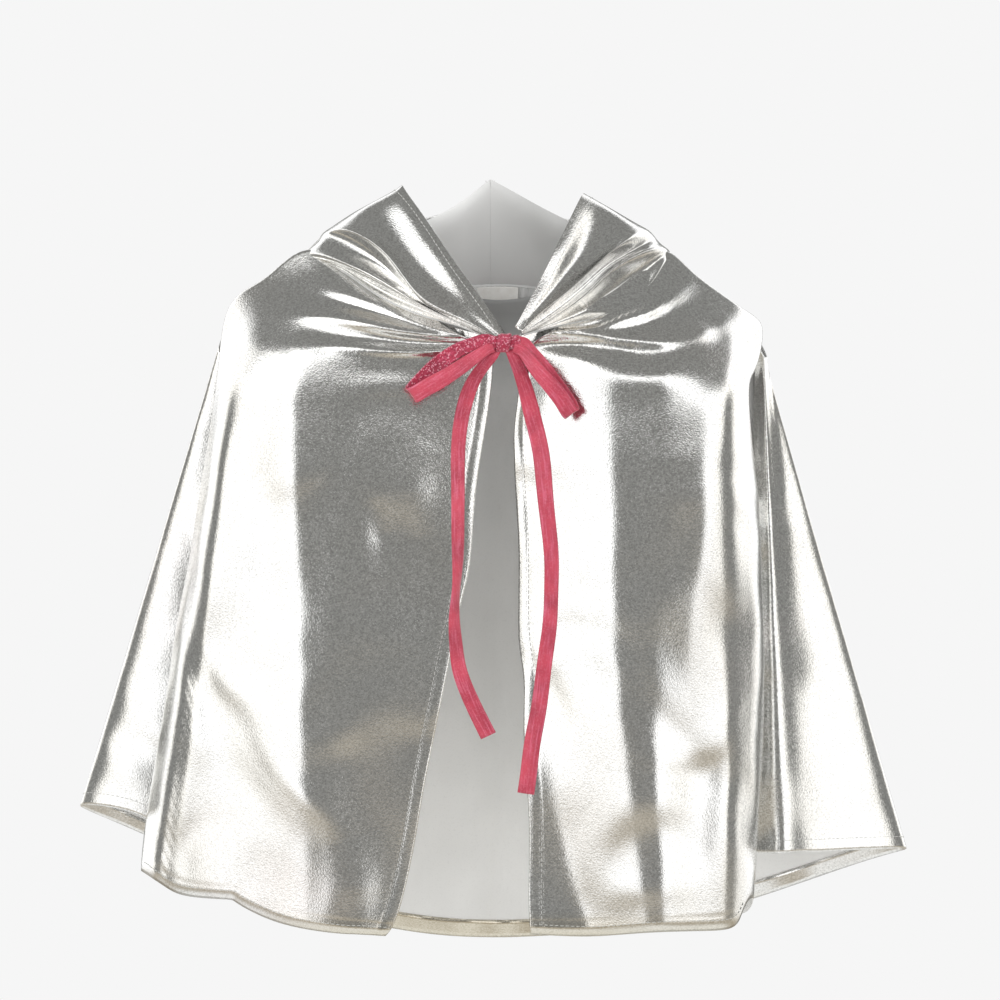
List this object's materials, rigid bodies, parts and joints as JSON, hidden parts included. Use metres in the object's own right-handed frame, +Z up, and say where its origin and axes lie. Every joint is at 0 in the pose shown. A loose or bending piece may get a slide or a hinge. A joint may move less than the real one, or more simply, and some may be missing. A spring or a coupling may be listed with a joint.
{
  "type": "superhero cape",
  "caption": "Child's short hooded cape of silver foil cloth, open at the front, drawn in and tied at the neck with a pink satin ribbon bow.",
  "frame": {"origin": "middle of the neck opening, level with the nape seam", "axes": "+X across the cape towards the right as seen from the front, -Y out of the front, +Z up"},
  "size_m": [0.4947, 0.1932, 0.4582],
  "materials": {
    "silver_foil": "gloss",
    "foil_reverse": "matte",
    "satin_ribbon": "satin",
    "label_tape": "matte"
  },
  "bodies": {
    "cape": {"front_panel_left": "silver_foil", "front_panel_right": "silver_foil", "back_panel": "silver_foil", "front_edge_hem_left": "silver_foil", "front_edge_hem_right": "silver_foil", "bottom_hem_left": "silver_foil", "bottom_hem_right": "silver_foil", "bottom_hem_back": "silver_foil", "neck_band": "silver_foil", "neck_casing": "foil_reverse", "neck_ribbon": "satin_ribbon", "neck_label": "label_tape", "hood_side_left": "silver_foil", "hood_side_right": "silver_foil", "hood_back_left": "silver_foil", "hood_back_right": "silver_foil", "hood_edge_hem_left": "silver_foil", "hood_edge_hem_right": "silver_foil", "bow_knot": "satin_ribbon"},
    "hood": {"hood_bag_left": "silver_foil", "hood_bag_right": "silver_foil", "hood_centre_seam": "foil_reverse"},
    "left_loop": {"bow_loop_left": "satin_ribbon"},
    "right_loop": {"bow_loop_right": "satin_ribbon"},
    "left_tail": {"ribbon_tail_left": "satin_ribbon"},
    "right_tail": {"ribbon_tail_right": "satin_ribbon"}
  },
  "joints": [
    {"name": "hood_lift", "type": "hinge", "parent": "cape", "child": "hood", "pos_m": [0, 0.022, 0.063], "axis": [1, 0, 0], "range_deg": [0, 75]},
    {"name": "left_loop_lift", "type": "hinge", "parent": "cape", "child": "left_loop", "pos_m": [0.004, -0.062, -0.033], "axis": [-0.5593, 0, 0.829], "range_deg": [0, 45]},
    {"name": "right_loop_lift", "type": "hinge", "parent": "cape", "child": "right_loop", "pos_m": [0.004, -0.062, -0.033], "axis": [-0.8, 0, -0.6], "range_deg": [0, 45]},
    {"name": "left_tail_swing", "type": "hinge", "parent": "cape", "child": "left_tail", "pos_m": [0.004, -0.062, -0.033], "axis": [0, 1, 0], "range_deg": [0, 20]},
    {"name": "right_tail_swing", "type": "hinge", "parent": "cape", "child": "right_tail", "pos_m": [0.004, -0.062, -0.033], "axis": [0, 1, 0], "range_deg": [-20, 0]}
  ]
}
